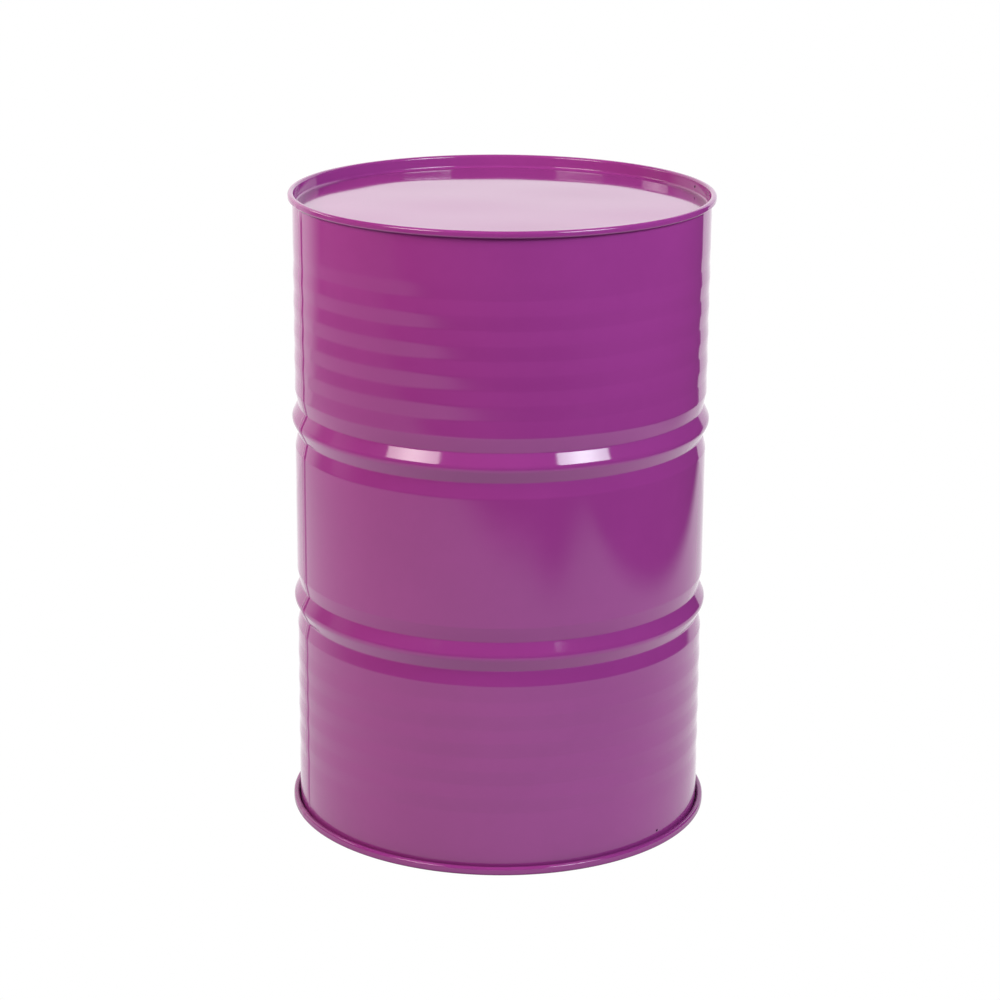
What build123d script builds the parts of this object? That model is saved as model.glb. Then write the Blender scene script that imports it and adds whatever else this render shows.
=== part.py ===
"""Tight-head steel drum of about 210 litres: rolled body, two seamed heads and two screwed closures.

All sizes are in millimetres. +Z is up, and the origin is the centre of the ring that the drum
stands on. Every sheet part is drawn as the line that its sheet follows in one radial half-plane,
given thickness, and turned about the drum's axis.
"""
from build123d import *
import os
from math import cos, hypot, radians, sin, tau

# ---- the drum as a whole -------------------------------------------------------------------
HEIGHT = 886.0
SHEET = 1.0                  # thickness of the body and of both heads
BODY_RADIUS = 286.75         # outer radius of the plain wall
LINE_RADIUS = BODY_RADIUS - SHEET / 2
HEAD_GAP = 0.05              # between a head's upright wall and the body wall it is pressed into

# ---- rolling hoops and corrugations, placed up and down from the middle of the wall ----------
WALL_MIDDLE = 441.0
HOOP_FROM_MIDDLE = 130.2     # height of a hoop's crest above or below the middle
HOOP_HALF_WIDTH = 41.0
GROOVE_FROM_CREST = 22.0     # height between a hoop's crest and the groove beside it
GROOVE_DEPTH = 4.55          # depth of the groove's corner, before it is rounded
CREST_CORNER = 7.75          # how far the crest's corner stands out, before it is rounded
CREST_BEND = 22.7
GROOVE_BEND = 7.0
SHOULDER_BEND = 12.0
RIPPLE_START = 194.0         # the first valley above or below the middle
RIPPLE_STEP = 19.9           # height from a valley to the next crest
RIPPLE_COUNT = 9             # valleys and crests in each end third, starting with a valley
RIPPLE_VALLEY = -0.55
RIPPLE_CREST = 0.35
RIPPLE_BEND = 45.0

# ---- welded lap of the body sheet ------------------------------------------------------------
LAP_ANGLE = 202.3            # direction of the lap, anticlockwise from +X
LAP_WIDTH = 3.0
LAP_RISE = 0.35
LAP_END_GAP = 3.0            # the lap stops this far short of each rolled seam

# ---- heads and the seams that hold them --------------------------------------------------------
TOP_RECESS = 18.0            # from the top of the drum down to the top head
BOTTOM_RECESS = 25.0         # from the ground up to the underside of the bottom head
HEAD_BEND = 4.0              # bend between a head's disc and its upright wall
TOP_SEAM = dict(radius=292.9, height=10.8, curl=287.48, end_bend=3.1, far_bend=2.2)
BOTTOM_SEAM = dict(radius=296.2, height=12.0, curl=288.8, end_bend=4.5, far_bend=2.9)
HOOK_GAP = 0.35              # space beyond the cut edge of a hook
COMPOUND_GAP = 0.35
COMPOUND_HEIGHT = 1.4

# ---- drain holes through the rims ---------------------------------------------------------------
TOP_DRAIN = dict(angle=18.5, height=876.2, radius=1.5)
BOTTOM_DRAIN = dict(angle=320.6, height=19.6, radius=1.25)
DRAIN_FROM_RADIUS = 280.0
DRAIN_LENGTH = 20.0

# ---- screwed closures, both in the bottom head ---------------------------------------------------
NECK_HEIGHT = 9.0            # end of the flange's neck beyond the head's outer face
NECK_WALL = 4.1
COLLAR_GAP = 0.1             # between the neck and the collar drawn from the head
COLLAR_BEND = 2.0
COLLAR_FLAT = 1.2            # flat rim of the collar where it joins the disc
COLLAR_TOP = 7.3
CRIMP_START = 5.2
CRIMP_IN = 0.65
GROOVE_START = 4.6
GROOVE_END = 7.8
GROOVE_CUT = 0.9
SEAL_THICK = 1.2             # gasket between a flange and the head
PLUG_SEAL_THICK = 1.3
SCREW_CLEARANCE = 0.04       # each side of the mean thread radius
PLUG_NECK_CUT = 0.3          # relief behind the plug's rim, where its gasket sits
SEAL_PLAY = 0.5              # between the plug's gasket and the plug's neck
CHAMFER = 0.8
LARGE = dict(
    name="large", angle=292.3, centre=216.0, thread_radius=29.07, pitch=2.309, turns=4.5,
    base_across=82.0, base_sides=8, base_height=6.0, seal_inner=37.0, seal_outer=40.4,
    rim_radius=33.2, rim_height=3.5, cup_wall=4.4, cup_floor=3.0, lug_width=12.0, lug_depth=7.0,
)
SMALL = dict(
    name="small", angle=112.3, centre=232.0, thread_radius=12.64, pitch=1.814, turns=5.0,
    base_across=48.0, base_sides=8, base_height=6.0, seal_inner=20.5, seal_outer=23.4,
    rim_radius=16.7, rim_height=3.2, cup_wall=3.2, cup_floor=2.5, lug_width=5.0, lug_depth=2.6,
)


def shifted(points, bends, distance):
    """Points and bend radii of a bent line moved sideways: to its left if distance is positive."""
    headings = []
    for (x0, z0), (x1, z1) in zip(points, points[1:]):
        length = hypot(x1 - x0, z1 - z0)
        headings.append(((x1 - x0) / length, (z1 - z0) / length))
    arriving = [headings[0]] + headings
    leaving = headings + [headings[-1]]
    moved = []
    new_bends = []
    for index, (x, z) in enumerate(points):
        (ax, az), (bx, bz) = arriving[index], leaving[index]
        scale = distance / (1 + ax * bx + az * bz)
        moved.append((x - (az + bz) * scale, z + (ax + bx) * scale))
        if 0 < index < len(points) - 1:
            turns_left = ax * bz - az * bx > 0
            new_bends.append(bends[index - 1] + (-distance if turns_left else distance))
    return moved, new_bends


def sheet_section(corners, left, right):
    """Face in the XZ plane that a sheet fills, from its line's corners (x, z, bend radius).

    left and right are the thicknesses each side of the line. The ends have no bend.
    """
    points = [(x, z) for x, z, bend in corners]
    bends = [bend for x, z, bend in corners[1:-1]]
    left_points, left_bends = shifted(points, bends, left)
    right_points, right_bends = shifted(points, bends, -right)
    outline = FilletPolyline(*left_points, radius=left_bends)
    outline += Line(left_points[-1], right_points[-1])
    outline += FilletPolyline(*right_points, radius=right_bends)
    outline += Line(right_points[0], left_points[0])
    return Plane.XZ * make_face(outline)


def ring(x_low, x_high, z_low, z_high):
    """Solid ring about the Z axis, of rectangular section, between two radii and two heights."""
    section = Pos((x_low + x_high) / 2, (z_low + z_high) / 2) * Rectangle(x_high - x_low, z_high - z_low)
    return revolve(Plane.XZ * section, axis=Axis.Z)


# ---- rolled seams ----------------------------------------------------------------------------
# A seam is drawn in its own frame: v is the distance in from the end of the drum. The two sheets
# go over the end together, down the outside, and curl back up inside: seven layers in all.

def seam_step(seam):
    """Distance between neighbouring layers of the curl."""
    return (seam["radius"] - SHEET / 2 - seam["curl"] - SHEET / 2) / 4


def head_hook(seam):
    """Corners (x, v, bend) of the head's sheet, from the upright wall to its cut edge."""
    step = seam_step(seam)
    outer = seam["radius"] - SHEET / 2
    inner = seam["curl"] + SHEET / 2
    far = seam["height"] - SHEET / 2
    curl_end = SHEET / 2 + 2 * step
    return [
        (BODY_RADIUS - 1.5 * SHEET - HEAD_GAP, SHEET / 2, seam["end_bend"]),
        (outer, SHEET / 2, seam["end_bend"]),
        (outer, far, seam["far_bend"]),
        (inner, far, seam["far_bend"]),
        (inner, curl_end, seam["far_bend"] - step),
        (inner + 2 * step, curl_end, seam["far_bend"] - step),
        (inner + 2 * step, compound_span(seam)[0] - HOOK_GAP, 0),
    ]


def body_hook(seam):
    """Corners (x, v, bend) of the body's sheet, from the wall to its cut edge."""
    step = seam_step(seam)
    outer = seam["radius"] - SHEET / 2 - step
    inner = seam["curl"] + SHEET / 2 + step
    end = SHEET / 2 + step
    far = seam["height"] - SHEET / 2 - step
    return [
        (LINE_RADIUS, end, seam["end_bend"] - step),
        (outer, end, seam["end_bend"] - step),
        (outer, far, seam["far_bend"] - step),
        (inner, far, seam["far_bend"] - step),
        (inner, end + step + SHEET / 2 + HOOK_GAP, 0),
    ]


def compound_span(seam):
    """Distances in from the drum's end between which the sealing compound lies."""
    far = seam["height"] - SHEET - seam_step(seam) - COMPOUND_GAP
    return far - COMPOUND_HEIGHT, far


def from_top(corners):
    return [(x, HEIGHT - v, bend) for x, v, bend in corners]


def seam_compound(seam, at_top):
    """Ring of sealing compound in the pocket inside the curl."""
    step = seam_step(seam)
    inner = seam["curl"] + SHEET + step + COMPOUND_GAP
    outer = seam["radius"] - SHEET - step - COMPOUND_GAP
    near, far = compound_span(seam)
    if at_top:
        near, far = HEIGHT - far, HEIGHT - near
    return ring(inner, outer, near, far)


# ---- body --------------------------------------------------------------------------------------

def wall_half(direction):
    """Corners of the wall from the middle outwards: a hoop, then the corrugations of one end."""
    crest = HOOP_FROM_MIDDLE
    steps = [
        (crest - HOOP_HALF_WIDTH, 0, SHOULDER_BEND),
        (crest - GROOVE_FROM_CREST, -GROOVE_DEPTH, GROOVE_BEND),
        (crest, CREST_CORNER, CREST_BEND),
        (crest + GROOVE_FROM_CREST, -GROOVE_DEPTH, GROOVE_BEND),
        (crest + HOOP_HALF_WIDTH, 0, SHOULDER_BEND),
    ]
    for count in range(RIPPLE_COUNT):
        rise = RIPPLE_CREST if count % 2 else RIPPLE_VALLEY
        steps.append((RIPPLE_START + count * RIPPLE_STEP, rise, RIPPLE_BEND))
    steps.append((RIPPLE_START + RIPPLE_COUNT * RIPPLE_STEP, 0, RIPPLE_BEND))
    return [(LINE_RADIUS + rise, WALL_MIDDLE + direction * offset, bend) for offset, rise, bend in steps]


def drain(hole):
    """Cutter for a small hole pointing straight out through a rim."""
    drill = Rot(Y=90) * Cylinder(hole["radius"], DRAIN_LENGTH, align=(Align.CENTER, Align.CENTER, Align.MIN))
    return Rot(Z=hole["angle"]) * (Pos(DRAIN_FROM_RADIUS, 0, hole["height"]) * drill)


def make_body_shell():
    """One rolled sheet: seam hooks at both ends, two hoops, corrugations and the welded lap."""
    wall = wall_half(-1)[::-1] + wall_half(1)
    corners = body_hook(BOTTOM_SEAM)[::-1] + wall + from_top(body_hook(TOP_SEAM))
    shell = revolve(sheet_section(corners, SHEET / 2, SHEET / 2), axis=Axis.Z)
    lap_low = (LINE_RADIUS, BOTTOM_SEAM["height"] + LAP_END_GAP, 0)
    lap_high = (LINE_RADIUS, HEIGHT - TOP_SEAM["height"] - LAP_END_GAP, 0)
    lap_arc = LAP_WIDTH / BODY_RADIUS * 360 / tau
    lap_face = sheet_section([lap_low] + wall + [lap_high], 0, SHEET / 2 + LAP_RISE)
    lap = Rot(Z=LAP_ANGLE - lap_arc / 2) * revolve(lap_face, axis=Axis.Z, revolution_arc=lap_arc)
    return shell + lap - drain(TOP_DRAIN) - drain(BOTTOM_DRAIN)


# ---- heads -------------------------------------------------------------------------------------

def head_corners(seam, recess):
    """Corners (x, v, bend) of a head's sheet from the drum's axis to its cut edge."""
    hook = head_hook(seam)
    disc = recess + SHEET / 2
    return [(0, disc, 0), (hook[0][0], disc, HEAD_BEND)] + hook


def make_top_head():
    section = sheet_section(from_top(head_corners(TOP_SEAM, TOP_RECESS)), SHEET / 2, SHEET / 2)
    return revolve(section, axis=Axis.Z) - drain(TOP_DRAIN)


def make_bottom_head():
    """Pressed disc with an upright wall, a rolled hook, and a drawn collar for each closure."""
    section = sheet_section(head_corners(BOTTOM_SEAM, BOTTOM_RECESS), SHEET / 2, SHEET / 2)
    head = revolve(section, axis=Axis.Z) - drain(BOTTOM_DRAIN)
    for closure in (LARGE, SMALL):
        opening = Cylinder(collar_reach(closure), 4 * SHEET)
        head -= seat(closure) * opening
    for closure in (LARGE, SMALL):
        head += seat(closure) * collar(closure)
    return head


# ---- closures ------------------------------------------------------------------------------------
# A closure is drawn in its own frame: its axis is Z, pointing out of the drum, and z = 0 is the
# outer face of the head. The threads are plain cylinders at the mean thread radius.

def seat(closure):
    """Place of a closure in the bottom head, with its axis pointing down."""
    angle = radians(closure["angle"])
    centre = closure["centre"]
    return Pos(centre * cos(angle), centre * sin(angle), BOTTOM_RECESS) * Rot(X=180)


def neck_radius(closure):
    return closure["thread_radius"] + NECK_WALL


def collar_line(closure):
    return neck_radius(closure) + COLLAR_GAP + SHEET / 2


def collar_reach(closure):
    """Radius at which a collar joins the head's flat disc."""
    return collar_line(closure) + COLLAR_BEND + COLLAR_FLAT


def collar(closure):
    """Part of the head drawn out around a flange's neck and crimped into its groove."""
    line = collar_line(closure)
    corners = [
        (collar_reach(closure), -SHEET / 2, 0),
        (line, -SHEET / 2, COLLAR_BEND),
        (line, CRIMP_START, COLLAR_BEND),
        (line - CRIMP_IN, COLLAR_TOP, 0),
    ]
    return revolve(sheet_section(corners, SHEET / 2, SHEET / 2), axis=Axis.Z)


def make_flange(closure):
    """Threaded steel insert: an eight-sided base inside the head, and a neck through it."""
    neck = neck_radius(closure)
    shoulder = -SHEET - SEAL_THICK
    base = RegularPolygon(closure["base_across"] / 2, closure["base_sides"], major_radius=False)
    flange = Pos(Z=shoulder - closure["base_height"]) * extrude(base, closure["base_height"])
    flange += ring(0, neck, shoulder, NECK_HEIGHT)
    flange -= ring(neck - GROOVE_CUT, neck + COLLAR_BEND, GROOVE_START, GROOVE_END)
    flange -= Cylinder(closure["thread_radius"] + SCREW_CLEARANCE, 4 * NECK_HEIGHT)
    mouth = flange.edges().filter_by(GeomType.CIRCLE).group_by(Axis.Z)[-1].sort_by(SortBy.RADIUS)[0]
    return chamfer(mouth, CHAMFER)


def make_flange_gasket(closure):
    return ring(closure["seal_inner"], closure["seal_outer"], -SHEET - SEAL_THICK, -SHEET)


def make_plug(closure):
    """Cup-shaped screw plug with two driving lugs inside its mouth."""
    thread = closure["thread_radius"] - SCREW_CLEARANCE
    inner_end = NECK_HEIGHT - closure["turns"] * closure["pitch"]
    rim_low = NECK_HEIGHT + PLUG_SEAL_THICK
    rim_high = rim_low + closure["rim_height"]
    cup = closure["thread_radius"] - closure["cup_wall"]
    cup_low = inner_end + closure["cup_floor"]
    plug = ring(0, thread, inner_end, NECK_HEIGHT)
    plug += ring(0, thread - PLUG_NECK_CUT, NECK_HEIGHT, rim_low)
    plug += ring(0, closure["rim_radius"], rim_low, rim_high)
    circles = plug.edges().filter_by(GeomType.CIRCLE).group_by(Axis.Z)
    plug = chamfer(circles[0] + circles[-1], CHAMFER)
    plug -= ring(0, cup, cup_low, rim_high)
    lug_height = rim_high - 2 * CHAMFER - cup_low + CHAMFER
    for side in (-1, 1):
        lug = Box(closure["lug_depth"], closure["lug_width"], lug_height)
        lug_x = side * (cup + CHAMFER - closure["lug_depth"] / 2)
        plug += Pos(lug_x, 0, cup_low - CHAMFER + lug_height / 2) * lug
    return plug


def make_plug_gasket(closure):
    neck = closure["thread_radius"] - SCREW_CLEARANCE - PLUG_NECK_CUT
    rim_low = NECK_HEIGHT + PLUG_SEAL_THICK
    return ring(neck + SEAL_PLAY, closure["rim_radius"] - SEAL_PLAY, NECK_HEIGHT, rim_low)


def make_parts():
    parts = {
        "body_shell": make_body_shell(),
        "top_head": make_top_head(),
        "bottom_head": make_bottom_head(),
        "top_seam_compound": seam_compound(TOP_SEAM, True),
        "bottom_seam_compound": seam_compound(BOTTOM_SEAM, False),
    }
    for closure in (LARGE, SMALL):
        place = seat(closure)
        parts[closure["name"] + "_flange"] = place * make_flange(closure)
        parts[closure["name"] + "_flange_gasket"] = place * make_flange_gasket(closure)
        parts[closure["name"] + "_plug"] = place * make_plug(closure)
        parts[closure["name"] + "_plug_gasket"] = place * make_plug_gasket(closure)
    return parts


def main():
    os.makedirs("parts", exist_ok=True)
    for node, solid in make_parts().items():
        export_step(solid, f"parts/{node}.step")


main()
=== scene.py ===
"""Looks of a tight-head steel drum of about 210 litres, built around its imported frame.

Sizes in this file are in millimetres, as on a maker's drawing, and are turned into metres when a
mesh is written. Every sheet piece is the line that its sheet follows in one radial half-plane,
given thickness and turned about the drum's axis.
"""
from math import atan2, ceil, cos, hypot, pi, radians, sin, tan, tau

import bpy
import numpy as np
from mathutils import Euler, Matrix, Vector


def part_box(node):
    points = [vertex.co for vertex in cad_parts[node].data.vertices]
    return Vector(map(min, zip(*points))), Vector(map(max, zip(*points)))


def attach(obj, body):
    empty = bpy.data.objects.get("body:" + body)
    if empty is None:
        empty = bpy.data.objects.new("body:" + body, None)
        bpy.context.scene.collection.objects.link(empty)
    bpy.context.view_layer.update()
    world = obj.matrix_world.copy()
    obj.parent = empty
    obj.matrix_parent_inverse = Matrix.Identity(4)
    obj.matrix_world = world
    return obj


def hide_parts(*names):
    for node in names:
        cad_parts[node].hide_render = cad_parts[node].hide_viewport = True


bl_info = {
    "name": "Steel Oil Drum",
    "version": (1, 0, 0),
    "blender": (4, 5, 0),
    "location": "3D View > Sidebar > Drum",
    "description": "Painted sheets, screwed closures, seals and studio of a steel drum",
    "category": "Add Mesh",
}

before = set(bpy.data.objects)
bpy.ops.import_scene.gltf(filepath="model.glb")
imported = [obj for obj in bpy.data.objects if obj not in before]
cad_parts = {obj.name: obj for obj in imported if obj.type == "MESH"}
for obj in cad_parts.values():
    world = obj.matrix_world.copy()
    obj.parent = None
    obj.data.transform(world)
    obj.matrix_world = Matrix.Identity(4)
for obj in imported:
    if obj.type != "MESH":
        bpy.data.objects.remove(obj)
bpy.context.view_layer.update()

MM = 0.001


def node_reach(node):
    """Largest distance of a CAD node's box from the drum's axis, in millimetres."""
    low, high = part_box(node)
    return round(max(high.x, -low.x) / MM, 2)


# ---- the drum as a whole -------------------------------------------------------------------------
HEIGHT = round(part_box("top_head")[1].z / MM, 3)
SHEET = 1.0
HALF_SHEET = SHEET / 2
BODY_RADIUS = 286.75
LINE_RADIUS = BODY_RADIUS - HALF_SHEET
HEAD_GAP = 0.05

# ---- rolling hoops and corrugations, placed up and down from the middle of the wall --------------
WALL_MIDDLE = 441.0
HOOP_FROM_MIDDLE = 130.2
HOOP_HALF_WIDTH = 41.0
GROOVE_FROM_CREST = 20.0
GROOVE_DEPTH = 4.3
CREST_CORNER = 5.45
CREST_BEND = 11.0
GROOVE_BEND = 4.0
SHOULDER_BEND = 12.0
RIPPLE_START = 194.0
RIPPLE_STEP = 19.9
RIPPLE_COUNT = 9
RIPPLE_VALLEY = -0.55
RIPPLE_CREST = 0.35
RIPPLE_BEND = 50.0

# ---- welded lap ----------------------------------------------------------------------------------
LAP_ANGLE = 200.6
LAP_RISE = 0.9
LAP_STRIP = 6.0              # width of the squeezed strip left of the lap's edge
LAP_EDGE = 4.5               # width of the step down at its edge
LAP_RAMP = 5.0               # width of the slow rise up to the strip
LAP_RIDGE = 0.2              # height of the ridge at the strip's far side, as a share of the lap's rise
LAP_GROOVE = 0.25            # depth of the groove beyond the step, as the same share
LAP_FADE = 14.0              # how far the lap takes to flatten out before each rolled seam

# ---- heads and their rolled seams ----------------------------------------------------------------
TOP_RECESS = 18.0
BOTTOM_RECESS = 25.0
HEAD_BEND = 4.0
HEAD_DRAFT = 1.0             # lean of each head's upright wall, towards the axis at its foot
TOP_SEAM = dict(radius=node_reach("top_head"), height=9.2, curl=287.48, end_bend=3.1, far_bend=2.2)
BOTTOM_SEAM = dict(radius=node_reach("bottom_head"), height=11.4, curl=288.3, end_bend=3.2, far_bend=2.9)
HOOK_GAP = 0.35
COMPOUND_GAP = 0.35
COMPOUND_HEIGHT = 1.4
TOP_DRAIN = dict(angle=18.5, height=876.4, radius=1.6)
BOTTOM_DRAIN = dict(angle=320.6, height=19.6, radius=1.5)
DRILL_START = 280.0          # the drain holes' cutter reaches from here, inside the rim,
DRILL_END = 300.0            # to here, outside it

# ---- closures ------------------------------------------------------------------------------------
NECK_HEIGHT = 9.0
NECK_WALL = 4.1
COLLAR_GAP = 0.1
COLLAR_BEND = 2.0
COLLAR_FLAT = 1.2
COLLAR_TOP = 7.3
CRIMP_START = 5.2
CRIMP_IN = 0.65
GROOVE_START = 4.6
GROOVE_END = 7.8
GROOVE_CUT = 0.9
SEAL_THICK = 1.2
PLUG_SEAL_THICK = 1.3
SCREW_CLEARANCE = 0.04
CHAMFER = 0.8
LARGE = dict(
    name="large", angle=292.3, centre=216.0, thread_radius=29.07, thread_depth=1.479, pitch=2.309,
    turns=4.5, base_across=82.0, base_sides=8, base_height=6.0, rim_radius=33.2, rim_height=3.5,
    cup_wall=4.4, cup_floor=3.0, lug_width=12.0, lug_depth=7.0,
)
SMALL = dict(
    name="small", angle=112.3, centre=232.0, thread_radius=12.64, thread_depth=1.162, pitch=1.814,
    turns=5.0, base_across=48.0, base_sides=8, base_height=6.0, rim_radius=16.7, rim_height=3.2,
    cup_wall=3.2, cup_floor=2.5, lug_width=5.0, lug_depth=2.6,
)

# ---- how finely the meshes are divided -----------------------------------------------------------
FINE_BEND = radians(3.5)
COARSE_BEND = radians(18)
RIPPLE_STEP_ANGLE = radians(1.2)
BEND_MARGIN = 1.2            # a row of points this far from each bend keeps the flats flat
DRUM_COLUMNS = 320
CLOSURE_COLUMNS = 96
ROWS_PER_PITCH = 12
SHARP_ANGLE = radians(38)


# ---- settings that a user would change -----------------------------------------------------------

class DrumSheetSettings(bpy.types.PropertyGroup):
    lap_rise: bpy.props.FloatProperty(
        name="Lap rise", description="How far the welded lap stands out of the wall",
        default=LAP_RISE * MM, min=0, max=0.002, subtype="DISTANCE", unit="LENGTH")
    out_of_round: bpy.props.FloatProperty(
        name="Out of round", description="How far the rolled wall wanders from a true circle",
        default=0.00022, min=0, max=0.002, subtype="DISTANCE", unit="LENGTH")
    disc_waviness: bpy.props.FloatProperty(
        name="Disc waviness", description="How far the top head's disc wanders from flat",
        default=0.00012, min=0, max=0.001, subtype="DISTANCE", unit="LENGTH")


class DrumFinishSettings(bpy.types.PropertyGroup):
    paint: bpy.props.FloatVectorProperty(
        name="Paint", description="Colour of the gloss paint",
        default=(0.229, 0.0280, 0.183), size=3, min=0, max=1, subtype="COLOR")
    paint_light: bpy.props.FloatVectorProperty(
        name="Paint, thin", description="Colour where the paint lies a little thinner",
        default=(0.241, 0.0300, 0.193), size=3, min=0, max=1, subtype="COLOR")
    zinc: bpy.props.FloatVectorProperty(
        name="Zinc", description="Colour of the zinc plating",
        default=(0.62, 0.62, 0.60), size=3, min=0, max=1, subtype="COLOR")
    zinc_dull: bpy.props.FloatVectorProperty(
        name="Zinc, dull", description="Colour of duller spangles of the plating",
        default=(0.47, 0.47, 0.46), size=3, min=0, max=1, subtype="COLOR")
    rubber: bpy.props.FloatVectorProperty(
        name="Rubber", description="Colour of the gaskets",
        default=(0.030, 0.030, 0.032), size=3, min=0, max=1, subtype="COLOR")
    compound: bpy.props.FloatVectorProperty(
        name="Compound", description="Colour of the sealing compound in the seams",
        default=(0.25, 0.22, 0.17), size=3, min=0, max=1, subtype="COLOR")


class DrumStudioSettings(bpy.types.PropertyGroup):
    paper: bpy.props.FloatProperty(
        name="Paper", description="Brightness of the white paper that the drum stands on",
        default=1.1, min=0, max=10)
    left_box: bpy.props.FloatProperty(
        name="Left softbox", description="Brightness of the softbox at the left", default=10.0,
        min=0, max=100)
    right_box: bpy.props.FloatProperty(
        name="Right softbox", description="Brightness of the softbox at the right", default=14.5,
        min=0, max=100)
    side_box: bpy.props.FloatProperty(
        name="Side softbox", description="Brightness of the small softbox at the far left", default=7.0,
        min=0, max=100)
    left_lamp: bpy.props.FloatProperty(
        name="Left lamp", description="Brightness of the lamp high up at the left", default=9.0,
        min=0, max=100)
    right_lamp: bpy.props.FloatProperty(
        name="Right lamp", description="Brightness of the lamp high up at the right", default=6.6,
        min=0, max=100)


# ---- bent lines and sheets -----------------------------------------------------------------------

def turned(way, angle):
    """A direction (x, z) turned anticlockwise by an angle."""
    return way[0] * cos(angle) - way[1] * sin(angle), way[0] * sin(angle) + way[1] * cos(angle)


def run_rows(start, end, way, spacing):
    """Rows along a straight run between two bends, with one close to each end."""
    length = hypot(end[0] - start[0], end[1] - start[1])
    if length < 3 * BEND_MARGIN:
        return []
    count = max(1, ceil((length - 2 * BEND_MARGIN) / spacing))
    stops = np.linspace(BEND_MARGIN, length - BEND_MARGIN, count + 1)
    return [(start[0] + way[0] * stop, start[1] + way[1] * stop, *way) for stop in stops]


def bent_line(corners, bend_steps, spacing):
    """Rows (x, z, direction x, direction z) along a line with rounded corners (x, z, bend radius).

    bend_steps gives the angle between rows in each bend, one for each inner corner.
    """
    ways = []
    for (x0, z0, _), (x1, z1, _) in zip(corners, corners[1:]):
        length = hypot(x1 - x0, z1 - z0)
        ways.append(((x1 - x0) / length, (z1 - z0) / length))
    rows = [(corners[0][0], corners[0][1], *ways[0])]
    for (x, z, bend), before, after, step in zip(corners[1:-1], ways, ways[1:], bend_steps):
        turn = atan2(before[0] * after[1] - before[1] * after[0], before[0] * after[0] + before[1] * after[1])
        side = 1 if turn > 0 else -1
        reach = bend * tan(abs(turn) / 2)
        start = x - before[0] * reach, z - before[1] * reach
        rows += run_rows(rows[-1][:2], start, before, spacing)
        centre = start[0] - before[1] * bend * side, start[1] + before[0] * bend * side
        count = max(1, ceil(abs(turn) / step))
        for index in range(count + 1):
            way = turned(before, turn * index / count)
            rows.append((centre[0] + way[1] * bend * side, centre[1] - way[0] * bend * side, *way))
    end = corners[-1][:2]
    rows += run_rows(rows[-1][:2], end, ways[-1], spacing)
    rows.append((*end, *ways[-1]))
    return np.array(rows)


def sheet_rows(corners, seen_left, seen_steps, spacing):
    """Rows (r, z, face normal r, face normal z, seen) around a sheet's section, anticlockwise or clockwise.

    The seen face is divided finely and the hidden one coarsely. seen_left says on which side of the
    line the seen face lies.
    """
    coarse_steps = [COARSE_BEND] * (len(corners) - 2)
    faces = []
    for seen, steps, gap in ((1, seen_steps, spacing), (0, coarse_steps, 3 * spacing)):
        line = bent_line(corners, steps, gap)
        side = 1 if seen_left == bool(seen) else -1
        normal_r, normal_z = -line[:, 3] * side, line[:, 2] * side
        r = np.maximum(line[:, 0] + normal_r * HALF_SHEET, 0)
        faces.append(np.column_stack([r, line[:, 1] + normal_z * HALF_SHEET, normal_r, normal_z,
                                      np.full(len(line), seen)]))
    return np.vstack([faces[0], faces[1][::-1]])


def seam_step(seam):
    """Distance between neighbouring layers of a seam's curl."""
    return (seam["radius"] - HALF_SHEET - seam["curl"] - HALF_SHEET) / 4


def compound_near(seam):
    return seam["height"] - SHEET - seam_step(seam) - COMPOUND_GAP - COMPOUND_HEIGHT


def head_corners(seam, recess):
    """Corners (x, distance in from the drum's end, bend) of a head, from its centre to its cut edge."""
    step = seam_step(seam)
    wall = BODY_RADIUS - 1.5 * SHEET - HEAD_GAP
    outer = seam["radius"] - HALF_SHEET
    inner = seam["curl"] + HALF_SHEET
    far = seam["height"] - HALF_SHEET
    curl_end = HALF_SHEET + 2 * step
    return [
        (0, recess + HALF_SHEET, 0),
        (wall - HEAD_DRAFT, recess + HALF_SHEET, HEAD_BEND),
        (wall, HALF_SHEET, seam["end_bend"]),
        (outer, HALF_SHEET, seam["end_bend"]),
        (outer, far, seam["far_bend"]),
        (inner, far, seam["far_bend"]),
        (inner, curl_end, seam["far_bend"] - step),
        (inner + 2 * step, curl_end, seam["far_bend"] - step),
        (inner + 2 * step, compound_near(seam) - HOOK_GAP, 0),
    ]


def body_hook(seam):
    """Corners of the body's sheet inside a rolled seam, from the wall to its cut edge."""
    step = seam_step(seam)
    outer = seam["radius"] - HALF_SHEET - step
    inner = seam["curl"] + HALF_SHEET + step
    end = HALF_SHEET + step
    far = seam["height"] - HALF_SHEET - step
    return [
        (LINE_RADIUS, end, seam["end_bend"] - step),
        (outer, end, seam["end_bend"] - step),
        (outer, far, seam["far_bend"] - step),
        (inner, far, seam["far_bend"] - step),
        (inner, end + step + HALF_SHEET + HOOK_GAP, 0),
    ]


def from_top(corners):
    return [(x, HEIGHT - v, bend) for x, v, bend in corners]


def wall_half(direction):
    """Corners of the wall from its middle outwards: a hoop, then the corrugations of one end."""
    crest = HOOP_FROM_MIDDLE
    steps = [
        (crest - HOOP_HALF_WIDTH, 0, SHOULDER_BEND),
        (crest - GROOVE_FROM_CREST, -GROOVE_DEPTH, GROOVE_BEND),
        (crest, CREST_CORNER, CREST_BEND),
        (crest + GROOVE_FROM_CREST, -GROOVE_DEPTH, GROOVE_BEND),
        (crest + HOOP_HALF_WIDTH, 0, SHOULDER_BEND),
    ]
    for count in range(RIPPLE_COUNT):
        rise = RIPPLE_CREST if count % 2 else RIPPLE_VALLEY
        steps.append((RIPPLE_START + count * RIPPLE_STEP, rise, RIPPLE_BEND))
    steps.append((RIPPLE_START + RIPPLE_COUNT * RIPPLE_STEP, 0, RIPPLE_BEND))
    return [(LINE_RADIUS + rise, WALL_MIDDLE + direction * offset, bend) for offset, rise, bend in steps]


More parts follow.
